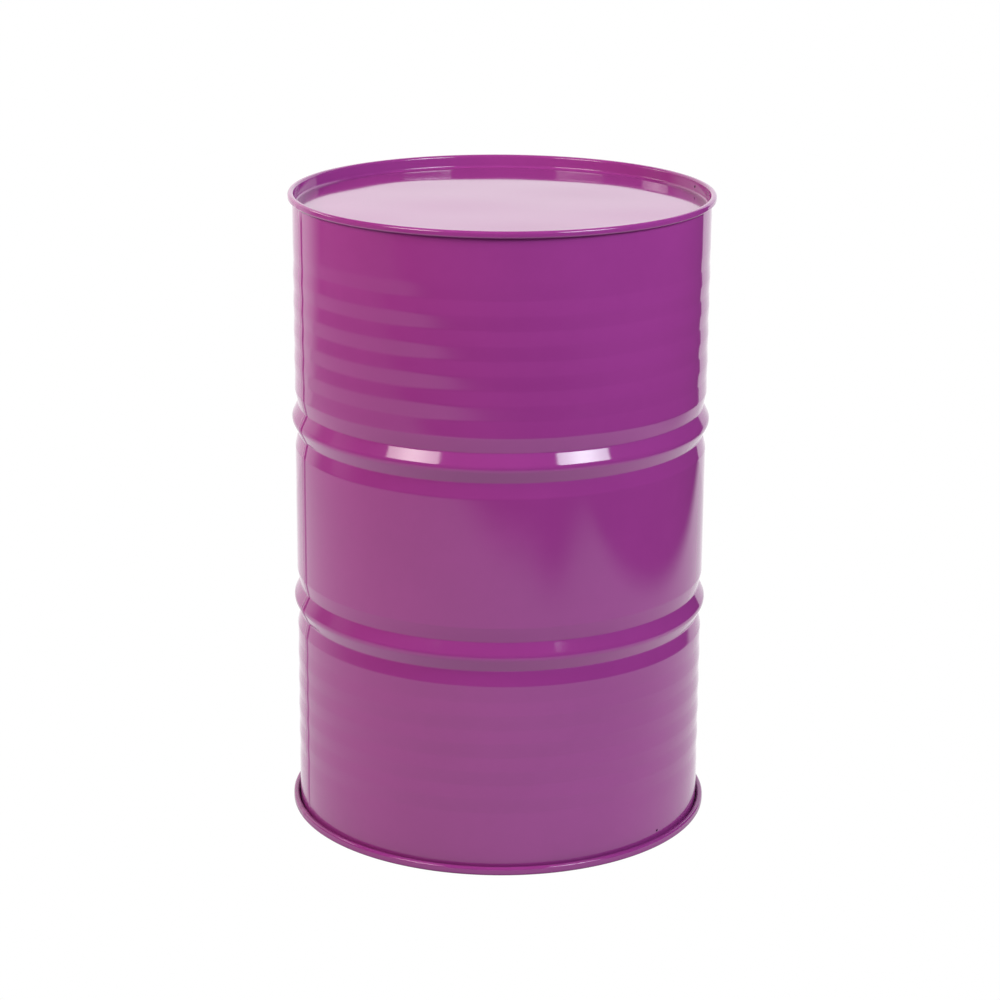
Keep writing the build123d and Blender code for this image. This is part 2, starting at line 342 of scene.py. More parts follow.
# ---- small departures from the drawing -----------------------------------------------------------

def smooth_step(value):
    """0 below 0, 1 above 1, and a smooth rise between."""
    t = np.clip(value, 0, 1)
    return t * t * (3 - 2 * t)


def bump(distance, width):
    """A smooth bump of height 1 about distance 0, gone at the given width each side."""
    return smooth_step(1 - np.abs(distance) / width)


def out_of_round(angle, z, amount):
    """Radial wander of the rolled wall, shared by the body and both heads so that they stay nested."""
    slow = 0.5 * np.cos(2 * angle + 1.0 + z / 400) + 0.3 * np.cos(3 * angle + 2.1 - z / 300)
    return amount * (slow + 0.2 * np.cos(5 * angle + 0.7 + z / 170))


def from_lap(angle):
    """Distance along the wall from the lap's edge, in millimetres, anticlockwise positive."""
    turn = (angle - radians(LAP_ANGLE) + pi) % tau - pi
    return turn * BODY_RADIUS


def lap_profile(distance):
    """Height of the welded lap, 0 to 1: a slow rise, a squeezed strip, and a step down at its edge."""
    rise = smooth_step((distance + LAP_STRIP + LAP_RAMP + 1) / LAP_RAMP)
    drop = smooth_step(distance / LAP_EDGE)
    ridge = LAP_RIDGE * bump(distance + LAP_STRIP + 1, 2)
    groove = LAP_GROOVE * bump(distance - LAP_EDGE - 0.5, 1.8)
    return rise * (1 - drop) + ridge - groove


def body_lift(angle, rows, settings):
    """How far the body's outer face stands out of the drawing along its normal, in millimetres."""
    z = rows[:, 1][:, None]
    distance = from_lap(angle)
    clear = smooth_step((z - BOTTOM_SEAM["height"] - 2) / LAP_FADE)
    clear = clear * smooth_step((HEIGHT - TOP_SEAM["height"] - 2 - z) / LAP_FADE)
    lift = settings.lap_rise / MM * lap_profile(distance) * clear
    for crest in (WALL_MIDDLE - HOOP_FROM_MIDDLE, WALL_MIDDLE + HOOP_FROM_MIDDLE):
        on_slope = smooth_step(1.4 - np.abs(np.abs(z - crest) - GROOVE_FROM_CREST / 2) / 8)
        chatter = 0.5 - 0.5 * np.cos(tau * z / 2.4)
        lift = lift - 0.1 * chatter * on_slope * bump(distance + LAP_STRIP / 2, LAP_STRIP / 2)
        for side in (-1, 1):
            crease = bump(z - crest - side * (GROOVE_FROM_CREST + 3.2), 1.3) * bump(distance - 26, 14)
            lift = lift - 0.14 * crease
    return lift * rows[:, 4][:, None]


def seam_lift(angle, rows, seam, at_top):
    """Marks on a rolled seam: a swell where the lap runs into it, and a fine line around its face."""
    v = HEIGHT - rows[:, 1][:, None] if at_top else rows[:, 1][:, None]
    on_face = (rows[:, 0] > seam["curl"])[:, None] * (v < seam["height"] + 1)
    swell = 0.55 * bump(from_lap(angle) - 2, 13) * smooth_step(v / seam["height"] * 1.4)
    line = 0.12 * bump(v - 0.56 * seam["height"], 1.3)
    return (swell - line) * on_face * rows[:, 4][:, None]


# ---- meshes --------------------------------------------------------------------------------------

def ring_angles(spots):
    """Angles of the columns around the drum, finer about each (angle, half width, step) in degrees."""
    angles = list(np.linspace(0, 360, DRUM_COLUMNS, endpoint=False))
    for middle, half_width, step in spots:
        angles = [angle for angle in angles if abs((angle - middle + 180) % 360 - 180) > half_width]
        count = round(2 * half_width / step)
        angles += list(middle + np.linspace(-half_width, half_width, count + 1))
    return np.radians(np.sort(np.array(angles) % 360))


def lathe_mesh(name, r, z, angles):
    """Closed mesh from radii and heights given for each row and column, in millimetres.

    A row of radius 0 at either end becomes a single point on the axis.
    """
    area = np.sum(r[:, 0] * np.roll(z[:, 0], -1) - np.roll(r[:, 0], -1) * z[:, 0])
    if area < 0:
        r, z = r[::-1], z[::-1]
    rows, columns = r.shape
    x, y = r * np.cos(angles), r * np.sin(angles)
    points = np.stack([x, y, z], axis=-1).reshape(-1, 3)
    row = np.arange(rows - 1) if r[0, 0] == 0 else np.arange(rows)
    i, j = np.meshgrid(row, np.arange(columns), indexing="ij")
    i_next, j_next = (i + 1) % rows, (j + 1) % columns
    faces = np.stack([i * columns + j, i * columns + j_next, i_next * columns + j_next, i_next * columns + j],
                     axis=-1).reshape(-1, 4).tolist()
    if r[0, 0] == 0:
        faces = faces[columns:-columns]
        first, last = 0, (rows - 1) * columns
        around = list(zip(range(columns), list(range(1, columns)) + [0]))
        faces += [[first, columns + b, columns + a] for a, b in around]
        faces += [[last, last - columns + a, last - columns + b] for a, b in around]
    return written_mesh(name, points, faces)


def written_mesh(name, points, faces):
    """Mesh in metres from points in millimetres, without its unused points."""
    used = np.unique(np.concatenate([np.array([f for f in faces if len(f) == size]).ravel()
                                     for size in sorted({len(f) for f in faces})]))
    new_index = np.full(len(points), -1)
    new_index[used] = np.arange(len(used))
    mesh = bpy.data.meshes.new(name)
    mesh.from_pydata((np.asarray(points)[used] * MM).tolist(), [], [new_index[f].tolist() for f in faces])
    mesh.validate()
    return mesh


def new_piece(name, mesh, body, material, replaced=()):
    """Object for a finished mesh, riding on its body, in place of the CAD nodes it stands for."""
    mesh.shade_smooth()
    mesh.set_sharp_from_angle(angle=SHARP_ANGLE)
    mesh.materials.clear()
    mesh.materials.append(material)
    piece = bpy.data.objects.new(name, mesh)
    bpy.context.scene.collection.objects.link(piece)
    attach(piece, body)
    if replaced:
        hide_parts(*replaced)
    return piece


def combined(mesh, others):
    """Mesh after each (operation, other mesh) is applied to it in turn."""
    scene = bpy.context.scene
    base = bpy.data.objects.new("work", mesh)
    scene.collection.objects.link(base)
    tools = []
    for operation, other in others:
        tool = bpy.data.objects.new("tool", other)
        scene.collection.objects.link(tool)
        tools.append(tool)
        cut = base.modifiers.new(operation, "BOOLEAN")
        cut.operation = operation
        cut.object = tool
        cut.solver = "MANIFOLD"
    graph = bpy.context.evaluated_depsgraph_get()
    result = bpy.data.meshes.new_from_object(base.evaluated_get(graph))
    result.name = mesh.name
    for thing in [base] + tools:
        data = thing.data
        bpy.data.objects.remove(thing)
        bpy.data.meshes.remove(data)
    return result


def drill_mesh(hole):
    """Cutter for a drain hole that points straight out through a rim."""
    around = np.linspace(0, tau, 32, endpoint=False)
    points, faces = [], []
    out = np.array([cos(radians(hole["angle"])), sin(radians(hole["angle"])), 0])
    side = np.array([-out[1], out[0], 0])
    for reach in (DRILL_START, DRILL_END):
        middle = out * reach + np.array([0, 0, hole["height"]])
        points += [middle + hole["radius"] * (cos(a) * side + sin(a) * np.array([0, 0, 1])) for a in around]
    count = len(around)
    for index in range(count):
        after = (index + 1) % count
        faces.append([index, after, count + after, count + index])
    faces += [list(range(count))[::-1], list(range(count, 2 * count))]
    return written_mesh("drill", points, faces)


# ---- painted sheets ------------------------------------------------------------------------------

def body_mesh(settings):
    hook_low, hook_high = body_hook(BOTTOM_SEAM), body_hook(TOP_SEAM)
    wall = wall_half(-1)[::-1] + wall_half(1)
    corners = hook_low[::-1] + wall + from_top(hook_high)
    steps = [COARSE_BEND] * (len(hook_low) - 1)
    for _, _, bend in wall:
        steps.append(RIPPLE_STEP_ANGLE if bend == RIPPLE_BEND else FINE_BEND)
    steps += [COARSE_BEND] * (len(hook_high) - 1)
    rows = sheet_rows(corners, False, steps, 9.0)
    angles = ring_angles([(LAP_ANGLE, 3.0, 0.06), (LAP_ANGLE + 6, 3.0, 0.4)])
    lift = body_lift(angles, rows, settings)
    z = rows[:, 1][:, None] + rows[:, 3][:, None] * lift
    r = rows[:, 0][:, None] + rows[:, 2][:, None] * lift
    r = r + out_of_round(angles, z, settings.out_of_round / MM)
    mesh = lathe_mesh("painted_body", r, z, angles)
    return combined(mesh, [("DIFFERENCE", drill_mesh(TOP_DRAIN)), ("DIFFERENCE", drill_mesh(BOTTOM_DRAIN))])


def head_mesh(name, seam, recess, at_top, settings):
    corners = head_corners(seam, recess)
    if at_top:
        corners = from_top(corners)
    steps = [FINE_BEND] * 5 + [COARSE_BEND] * (len(corners) - 7)
    rows = sheet_rows(corners, at_top, steps, 11.0)
    angles = ring_angles([(LAP_ANGLE, 3.0, 0.2)])
    lift = seam_lift(angles, rows, seam, at_top)
    z = rows[:, 1][:, None] + rows[:, 3][:, None] * lift
    r = rows[:, 0][:, None] + rows[:, 2][:, None] * lift
    r = r + out_of_round(angles, z, settings.out_of_round / MM) * (r / BODY_RADIUS)
    if at_top:
        x, y = r * np.cos(angles), r * np.sin(angles)
        waves = np.cos(x / 38 + y / 61 + 0.4) + np.cos(x / 55 - y / 34 + 2.0) + 0.6 * np.cos(y / 23 + x / 90)
        still = smooth_step((BODY_RADIUS - r) / 60)
        z = z + settings.disc_waviness / MM * waves * still
    return lathe_mesh(name, r, z, angles)


def placed(points, closure):
    """Points of a closure's own frame, whose +Z leaves the drum, put in place in the bottom head."""
    angle = radians(closure["angle"])
    centre = np.array([closure["centre"] * cos(angle), closure["centre"] * sin(angle), BOTTOM_RECESS])
    return np.asarray(points) * np.array([1, -1, -1]) + centre


def place_mesh(mesh, closure):
    """Moves a mesh from its closure's own frame into the bottom head."""
    points = np.zeros(len(mesh.vertices) * 3)
    mesh.vertices.foreach_get("co", points)
    mesh.vertices.foreach_set("co", (placed(points.reshape(-1, 3) / MM, closure) * MM).ravel())
    mesh.update()
    return mesh


def neck_radius(closure):
    return closure["thread_radius"] + NECK_WALL


def collar_line(closure):
    return neck_radius(closure) + COLLAR_GAP + HALF_SHEET


def closure_angles():
    return np.linspace(0, tau, CLOSURE_COLUMNS, endpoint=False)


def turned_mesh(name, outline):
    """Closed mesh turned from an outline of (r, z) points in a closure's own frame."""
    points = np.array(outline, float)
    angles = closure_angles()
    spread = np.ones((1, len(angles)))
    return lathe_mesh(name, points[:, :1] * spread, points[:, 1:2] * spread, angles)


def collar_mesh(closure):
    """Collar drawn out of the head around a flange's neck and crimped into its groove."""
    line = collar_line(closure)
    corners = [
        (line + COLLAR_BEND + COLLAR_FLAT, -HALF_SHEET, 0),
        (line, -HALF_SHEET, COLLAR_BEND),
        (line, CRIMP_START, COLLAR_BEND),
        (line - CRIMP_IN, COLLAR_TOP, 0),
    ]
    steps = [radians(9)] * (len(corners) - 2)
    rows = sheet_rows(corners, False, steps, 3.0)
    return place_mesh(turned_mesh("collar", rows[:, :2]), closure)


def hole_mesh(closure):
    """Cutter for the opening in the head's disc, where a collar takes over."""
    reach = collar_line(closure) + COLLAR_BEND + COLLAR_FLAT
    outline = [(0, -3 * SHEET), (reach, -3 * SHEET), (reach, 3 * SHEET), (0, 3 * SHEET)]
    return place_mesh(turned_mesh("hole", outline), closure)


# ---- screwed closures ----------------------------------------------------------------------------

def thread_wave(closure, angle, z):
    """Height of the screw thread from its mean radius: a rounded triangle that climbs one pitch a turn."""
    turn = z / closure["pitch"] - angle / tau
    triangle = 1 - 4 * np.abs(turn - np.floor(turn) - 0.5)
    return closure["thread_depth"] / 2 * np.clip(1.25 * triangle, -1, 1)


def threaded_rows(closure, start, end):
    """Heights of a threaded stretch, evenly spaced."""
    count = ceil(abs(end - start) / closure["pitch"] * ROWS_PER_PITCH)
    return np.linspace(start, end, count + 1)


def screw_mesh(name, closure, rows):
    """Closed mesh from rows (r, z, thread share, polygon share).

    A thread share above 0 adds the thread to the radius, and a polygon share of 1 swells a circle
    into the flats and corners of the flange's base.
    """
    rows = np.array(rows, float)
    angles = closure_angles()
    r, z = rows[:, 0][:, None], rows[:, 1][:, None] + np.zeros((1, len(angles)))
    sector = tau / closure["base_sides"]
    flats = 1 / np.cos(angles % sector - sector / 2)
    r = r * (1 + rows[:, 3][:, None] * (flats - 1))
    r = r + rows[:, 2][:, None] * thread_wave(closure, angles, z)
    return lathe_mesh(name, r, z, angles)


def flange_mesh(closure):
    """Threaded insert: an eight-sided base inside the head, a grooved neck and a threaded bore."""
    neck = neck_radius(closure)
    shoulder = -SHEET - SEAL_THICK
    low = shoulder - closure["base_height"]
    flat = closure["base_across"] / 2
    bore = closure["thread_radius"] + SCREW_CLEARANCE
    open_bore = bore + closure["thread_depth"] / 2
    edge = 0.7
    rows = [(open_bore, low, 0, 0), (flat - edge, low, 0, 1), (flat, low + edge, 0, 1),
            (flat, shoulder - edge, 0, 1), (flat - edge, shoulder, 0, 1), (neck + 0.4, shoulder, 0, 0),
            (neck, shoulder + 0.4, 0, 0), (neck, GROOVE_START, 0, 0),
            (neck - GROOVE_CUT, GROOVE_START, 0, 0), (neck - GROOVE_CUT, GROOVE_END, 0, 0),
            (neck, GROOVE_END, 0, 0), (neck, NECK_HEIGHT - 0.3, 0, 0), (neck - 0.3, NECK_HEIGHT, 0, 0),
            (open_bore + 0.1, NECK_HEIGHT, 0, 0)]
    heights = threaded_rows(closure, NECK_HEIGHT - CHAMFER, low + CHAMFER)
    shares = smooth_step((heights - low - CHAMFER) / closure["pitch"] * 1.5)
    shares = shares * smooth_step((NECK_HEIGHT - CHAMFER - heights) / closure["pitch"] * 3)
    for z, share in zip(heights, shares):
        rows.append((bore * share + open_bore * (1 - share), z, share, 0))
    return place_mesh(screw_mesh(closure["name"] + "_threaded_insert", closure, rows), closure)


def plug_mesh(closure):
    """Cup-shaped screw plug with a thread outside and two driving lugs inside its mouth."""
    thread = closure["thread_radius"] - SCREW_CLEARANCE
    root = thread - closure["thread_depth"] / 2
    inner_end = NECK_HEIGHT - closure["turns"] * closure["pitch"]
    rim_low = NECK_HEIGHT + PLUG_SEAL_THICK
    rim_high = rim_low + closure["rim_height"]
    cup = closure["thread_radius"] - closure["cup_wall"]
    cup_low = inner_end + closure["cup_floor"]
    rim = closure["rim_radius"]
    rows = [(0, inner_end, 0, 0), (root - CHAMFER, inner_end, 0, 0)]
    heights = threaded_rows(closure, inner_end + CHAMFER / 2, NECK_HEIGHT - 0.2)
    shares = smooth_step((heights - inner_end - CHAMFER / 2) / closure["pitch"] * 2)
    shares = shares * smooth_step((NECK_HEIGHT - 0.2 - heights) / closure["pitch"] * 2)
    for z, share in zip(heights, shares):
        rows.append((thread * share + root * (1 - share), z, share, 0))
    rows += [(root, rim_low, 0, 0), (rim - 0.3, rim_low, 0, 0), (rim, rim_low + 0.3, 0, 0),
             (rim, rim_high - CHAMFER, 0, 0), (rim - CHAMFER, rim_high, 0, 0), (cup + 0.5, rim_high, 0, 0),
             (cup, rim_high - 0.5, 0, 0), (cup, cup_low + 1, 0, 0), (cup - 1, cup_low, 0, 0),
             (0, cup_low, 0, 0)]
    mesh = screw_mesh(closure["name"] + "_screw_plug", closure, rows)
    top = rim_high - 2 * CHAMFER
    lugs = [("UNION", lug_mesh(closure, cup, cup_low, top, side)) for side in (-1, 1)]
    return place_mesh(combined(mesh, lugs), closure)


def lug_mesh(closure, cup, low, top, side):
    """One driving lug: a block with bevelled upper edges, rooted in the cup's wall and floor."""
    half = closure["lug_width"] / 2
    outer = side * (cup + CHAMFER)
    inner = side * (cup + CHAMFER - closure["lug_depth"])
    bevel = 0.5
    points, faces = [], []
    levels = [(low - CHAMFER, 0), (top - bevel, 0), (top, bevel)]
    for z, cut in levels:
        points += [(inner + side * cut, -half + cut, z), (outer, -half + cut, z),
                   (outer, half - cut, z), (inner + side * cut, half - cut, z)]
    for level in range(len(levels) - 1):
        base = 4 * level
        faces += [[base + a, base + (a + 1) % 4, base + 4 + (a + 1) % 4, base + 4 + a] for a in range(4)]
    last = 4 * (len(levels) - 1)
    faces += [[3, 2, 1, 0], [last, last + 1, last + 2, last + 3]]
    if side < 0:
        faces = [face[::-1] for face in faces]
    return written_mesh("lug", points, faces)


# ---- shader groups -------------------------------------------------------------------------------

def new_group(name, inputs, outputs):
    """Shader node group with named sockets. inputs is {name: default}, outputs is {name: socket type}."""
    group = bpy.data.node_groups.new(name, "ShaderNodeTree")
    group.interface.new_socket("Vector", in_out="INPUT", socket_type="NodeSocketVector")
    for label, default in inputs.items():
        socket = group.interface.new_socket(label, in_out="INPUT", socket_type="NodeSocketFloat")
        socket.default_value = default
    for label, kind in outputs.items():
        group.interface.new_socket(label, in_out="OUTPUT", socket_type=kind)
    return group, group.nodes.new("NodeGroupInput"), group.nodes.new("NodeGroupOutput")


def math_node(tree, operation, first, second):
    """Math node whose inputs are sockets or numbers."""
    node = tree.nodes.new("ShaderNodeMath")
    node.operation = operation
    for socket, value in zip(node.inputs, (first, second)):
        if isinstance(value, bpy.types.NodeSocket):
            tree.links.new(value, socket)
        else:
            socket.default_value = value
    return node.outputs[0]


def vector_node(tree, operation, vector, other=None):
    """Vector Math node of a socket and, for some operations, a fixed vector."""
    node = tree.nodes.new("ShaderNodeVectorMath")
    node.operation = operation
    tree.links.new(vector, node.inputs[0])
    if other is not None:
        node.inputs[1].default_value = other
    return node


def noise_node(tree, vector, scale, detail=2.0):
    node = tree.nodes.new("ShaderNodeTexNoise")
    node.inputs["Detail"].default_value = detail
    tree.links.new(vector, node.inputs["Vector"])
    if isinstance(scale, bpy.types.NodeSocket):
        tree.links.new(scale, node.inputs["Scale"])
    else:
        node.inputs["Scale"].default_value = scale
    return node.outputs["Fac"]


def ranged(tree, value, low, high, to_low=0.0, to_high=1.0):
    """Map Range node, smooth and clamped."""
    node = tree.nodes.new("ShaderNodeMapRange")
    node.interpolation_type = "SMOOTHSTEP"
    tree.links.new(value, node.inputs["Value"])
    for label, number in (("From Min", low), ("From Max", high), ("To Min", to_low), ("To Max", to_high)):
        node.inputs[label].default_value = number
    return node.outputs["Result"]


def make_mottle_group():
    """Soft two-scale mottling: a value of about 0 to 1 that varies over the surface."""
    group, given, out = new_group("Soft Mottle", {"Scale": 12.0, "Fine Scale": 90.0, "Fine Share": 0.3},
                                  {"Value": "NodeSocketFloat"})
    broad = noise_node(group, given.outputs["Vector"], given.outputs["Scale"])
    fine = noise_node(group, given.outputs["Vector"], given.outputs["Fine Scale"], 3.0)
    share = given.outputs["Fine Share"]
    weighted_fine = math_node(group, "MULTIPLY", fine, share)
    weighted_broad = math_node(group, "MULTIPLY", broad, math_node(group, "SUBTRACT", 1.0, share))
    total = math_node(group, "ADD", weighted_fine, weighted_broad)
    group.links.new(ranged(group, total, 0.32, 0.68), out.inputs["Value"])
    return group


def make_dust_group():
    """Fine specks of dust that settle on faces that look up."""
    group, given, out = new_group("Settled Dust", {"Amount": 0.3, "Speck Scale": 700.0},
                                  {"Mask": "NodeSocketFloat"})
    geometry = group.nodes.new("ShaderNodeNewGeometry")
    split = group.nodes.new("ShaderNodeSeparateXYZ")
    group.links.new(geometry.outputs["Normal"], split.inputs[0])
    up = ranged(group, split.outputs["Z"], 0.3, 0.95)
    speckle = noise_node(group, given.outputs["Vector"], given.outputs["Speck Scale"], 1.0)
    specks = ranged(group, speckle, 0.66, 0.74)
    patches = ranged(group, noise_node(group, given.outputs["Vector"], 9.0, 2.0), 0.35, 0.7)
    lying = math_node(group, "MULTIPLY", math_node(group, "MULTIPLY", specks, patches), up)
    group.links.new(math_node(group, "MULTIPLY", lying, given.outputs["Amount"]), out.inputs["Mask"])
    return group


def make_grain_group():
    """Fine surface grain as a height: orange peel in paint, plating grain, moulded rubber skin."""
    group, given, out = new_group("Surface Grain", {"Scale": 400.0, "Slow Scale": 60.0, "Slow Share": 0.5},
                                  {"Height": "NodeSocketFloat"})
    fine = noise_node(group, given.outputs["Vector"], given.outputs["Scale"], 1.0)
    slow = noise_node(group, given.outputs["Vector"], given.outputs["Slow Scale"], 1.0)
    total = math_node(group, "ADD", fine, math_node(group, "MULTIPLY", slow, given.outputs["Slow Share"]))
    group.links.new(total, out.inputs["Height"])
    return group


def shared_group(name, maker):
    return bpy.data.node_groups.get(name) or maker()


def group_node(tree, group, vector, values):
    node = tree.nodes.new("ShaderNodeGroup")
    node.node_tree = group
    tree.links.new(vector, node.inputs["Vector"])
    for label, value in values.items():
        node.inputs[label].default_value = value
    return node


def colour_mix(tree, factor, first, second):
    """Mix of two colours by a factor socket. Each colour is a tuple or a socket."""
    node = tree.nodes.new("ShaderNodeMix")
    node.data_type = "RGBA"
    tree.links.new(factor, node.inputs[0])
    for socket, colour in ((node.inputs[6], first), (node.inputs[7], second)):
        if isinstance(colour, bpy.types.NodeSocket):
            tree.links.new(colour, socket)
        else:
            socket.default_value = (*colour, 1)
    return node.outputs[2]


# ---- materials -----------------------------------------------------------------------------------

def new_material(name):
    """Material with a Principled shader, its node tree and the object's own coordinates."""
    material = bpy.data.materials.new(name)
    material.use_nodes = True
    tree = material.node_tree
    shader = next(node for node in tree.nodes if node.type == "BSDF_PRINCIPLED")
    coordinates = tree.nodes.new("ShaderNodeTexCoord")
    return material, tree, shader, coordinates.outputs["Object"]


def add_bump(tree, shader, height, distance, strength=1.0):
    node = tree.nodes.new("ShaderNodeBump")
    node.inputs["Strength"].default_value = strength
    node.inputs["Distance"].default_value = distance
    tree.links.new(height, node.inputs["Height"])
    tree.links.new(node.outputs["Normal"], shader.inputs["Normal"])


def painted_hole_shade(tree, vector, hole):
    """Mask for painted shade: 1 on the wall of a drain hole, 0 elsewhere. The paint is made near black and
    unreflecting there to stand in for the shade inside the hole.
    """
    out = (cos(radians(hole["angle"])), sin(radians(hole["angle"])), 0)
    level = vector_node(tree, "SUBTRACT", vector, (0, 0, hole["height"] * MM))
    across = vector_node(tree, "CROSS_PRODUCT", level.outputs[0], out)
    distance = vector_node(tree, "LENGTH", across.outputs[0])
    along = vector_node(tree, "DOT_PRODUCT", level.outputs[0], out)
    edge = hole["radius"] * MM
    near = ranged(tree, distance.outputs["Value"], edge + 0.1 * MM, edge + 0.3 * MM, 1.0, 0.0)
    this_side = ranged(tree, along.outputs["Value"], (DRILL_START - 20) * MM, (DRILL_START - 10) * MM)
    return math_node(tree, "MULTIPLY", near, this_side)


def gloss_paint(finish):
    """Gloss paint on steel: a deep even colour, faint orange peel and a few specks of dust, with painted
    shade, near black and without reflection, on the walls of the drain holes.
    """
    material = bpy.data.materials.get("gloss_paint_on_steel")
    if material:
        return material
    material, tree, shader, vector = new_material("gloss_paint_on_steel")
    mottle = group_node(tree, shared_group("Soft Mottle", make_mottle_group), vector,
                        {"Scale": 7.0, "Fine Scale": 60.0, "Fine Share": 0.25})
    dust = group_node(tree, shared_group("Settled Dust", make_dust_group), vector,
                      {"Amount": 0.05, "Speck Scale": 620.0})
    grain = group_node(tree, shared_group("Surface Grain", make_grain_group), vector,
                       {"Scale": 420.0, "Slow Scale": 95.0, "Slow Share": 1.2})
    paint = colour_mix(tree, mottle.outputs["Value"], tuple(finish.paint), tuple(finish.paint_light))
    dusty = colour_mix(tree, dust.outputs["Mask"], paint, (0.6, 0.55, 0.58))
    # painted shade: the walls of both drain holes are made near black and lose their reflection
    hole = math_node(tree, "ADD", painted_hole_shade(tree, vector, TOP_DRAIN),
                     painted_hole_shade(tree, vector, BOTTOM_DRAIN))
    tree.links.new(colour_mix(tree, hole, dusty, (0.01, 0.005, 0.009)), shader.inputs["Base Color"])
    sheen = ranged(tree, mottle.outputs["Value"], 0.0, 1.0, 0.055, 0.085)
    tree.links.new(math_node(tree, "ADD", sheen, dust.outputs["Mask"]), shader.inputs["Roughness"])
    tree.links.new(ranged(tree, hole, 0.0, 1.0, 0.5, 0.0), shader.inputs["Specular IOR Level"])
    shader.inputs["IOR"].default_value = 1.5
    add_bump(tree, shader, grain.outputs["Height"], 0.000006)
    return material


def zinc_plating(finish):
    """Bright zinc plating: satin metal with faint spangles."""
    material = bpy.data.materials.get("zinc_plated_steel")
    if material:
        return material
    material, tree, shader, vector = new_material("zinc_plated_steel")
    mottle = group_node(tree, shared_group("Soft Mottle", make_mottle_group), vector,
                        {"Scale": 160.0, "Fine Scale": 900.0, "Fine Share": 0.35})
    grain = group_node(tree, shared_group("Surface Grain", make_grain_group), vector,
                       {"Scale": 2600.0, "Slow Scale": 500.0, "Slow Share": 0.4})
    colour = colour_mix(tree, mottle.outputs["Value"], tuple(finish.zinc_dull), tuple(finish.zinc))
    tree.links.new(colour, shader.inputs["Base Color"])
    tree.links.new(ranged(tree, mottle.outputs["Value"], 0.0, 1.0, 0.42, 0.27), shader.inputs["Roughness"])
    shader.inputs["Metallic"].default_value = 1.0
    add_bump(tree, shader, grain.outputs["Height"], 0.00002)
    return material


def gasket_rubber(finish):
    """Dull black rubber with a moulded skin and a grey bloom."""
    material, tree, shader, vector = new_material("gasket_rubber_black")
    mottle = group_node(tree, shared_group("Soft Mottle", make_mottle_group), vector,
                        {"Scale": 220.0, "Fine Scale": 1400.0, "Fine Share": 0.5})
    grain = group_node(tree, shared_group("Surface Grain", make_grain_group), vector,
                       {"Scale": 3000.0, "Slow Scale": 700.0, "Slow Share": 0.6})
    bloom = tuple(channel + 0.03 for channel in finish.rubber)
    colour = colour_mix(tree, mottle.outputs["Value"], tuple(finish.rubber), bloom)
    tree.links.new(colour, shader.inputs["Base Color"])
    tree.links.new(ranged(tree, mottle.outputs["Value"], 0.0, 1.0, 0.62, 0.8), shader.inputs["Roughness"])
    add_bump(tree, shader, grain.outputs["Height"], 0.00004)
    return material


def seam_compound(finish):
    """Dried sealing compound: a dull tan paste with a lumpy skin."""
    material, tree, shader, vector = new_material("dried_seam_compound")
    mottle = group_node(tree, shared_group("Soft Mottle", make_mottle_group), vector,
                        {"Scale": 60.0, "Fine Scale": 800.0, "Fine Share": 0.5})
    grain = group_node(tree, shared_group("Surface Grain", make_grain_group), vector,
                       {"Scale": 1500.0, "Slow Scale": 300.0, "Slow Share": 0.8})
    dark = tuple(channel * 0.75 for channel in finish.compound)
    colour = colour_mix(tree, mottle.outputs["Value"], dark, tuple(finish.compound))
    tree.links.new(colour, shader.inputs["Base Color"])
    tree.links.new(ranged(tree, mottle.outputs["Value"], 0.0, 1.0, 0.7, 0.88), shader.inputs["Roughness"])
    add_bump(tree, shader, grain.outputs["Height"], 0.0001)
    return material


# ---- studio --------------------------------------------------------------------------------------

PAPER_LEFT = -6.0
PAPER_RIGHT = 1.45
PAPER_BACK = 1.5
PAPER_FRONT = -3.0
PAPER_EDGES = (              # front and right edges: two points, and how softly the light dies there
    ((-6.0, -2.3), (-1.9, -2.35), 0.9),
    ((-1.9, -2.35), (0.0, -1.92), 0.7),
    ((0.0, -1.92), (1.5, -1.27), 0.7),
    ((1.42, -1.6), (1.38, -0.6), 0.26),
)
PAPER_NEAR = 1.0             # the paper is evenly lit this far from the drum's axis,
PAPER_FAR = 4.4              # and much darker this far from it
PAPER_LOSS = 0.8
BACKDROP_HEIGHT = 2.4
BACKDROP_GAIN = 0.27         # how much brighter the backdrop is high up than at its foot
BACKDROP_DIM = 0.85
BACKDROP_BRIGHT = 1.08
BACKDROP_FADE = (-3.8, -1.7)  # the backdrop darkens towards its left end between these two places
BACKDROP_END = 0.12          # brightness left beyond them
UNDER_EDGE = 0.03            # width of the soft edge of the drum's shadow on the paper
UNDER_LIGHT = 0.4            # share of the paper's light that reaches the underside of the drum
UNDER_LOOK = 0.02            # how bright the paper under the drum looks
PAPER_SHADOW = (0.82, -1.6)  # a stand casts a soft shadow on the paper here
PAPER_SHADOW_REACH = 0.5
PAPER_SHADOW_DEPTH = 0.85
FLOOR_REACH = 12.0
CAMERA_PLACE = (0.0, -3.727, 1.5654)
CAMERA_PITCH = 16.749
CAMERA_ROLL = 0.383
CAMERA_LENS = 99.2
LEFT_BOX = dict(turn=-49.0, distance=2.5, half_turn=16.3, low=1.64, high=3.1, tint=(1.0, 0.95, 0.88))
RIGHT_BOX = dict(turn=46.8, distance=2.5, half_turn=16.0, low=1.64, high=3.1, tint=(0.86, 1.0, 1.0))
SIDE_BOX = dict(turn=-107.0, distance=1.54, half_turn=12.0, low=1.27, high=1.55, tint=(1.0, 0.95, 0.9))
LEFT_LAMP = dict(turn=-72.0, rise=38.0, tint=(1.0, 0.84, 0.68))
RIGHT_LAMP = dict(turn=62.0, rise=38.0, tint=(0.95, 1.0, 1.0))
LAMP_DISTANCE = 3.0
LAMP_SIZE = 1.5
ROOM_GLOW = dict(turn=-112.0, rise=6.0, tight=10.0, wide=30.0, brightness=0.5)
ROOM_LIGHT = 0.04            # brightness of the dark room in reflections,
FLOOR_LIGHT = 0.04           # and of the floor beyond the paper


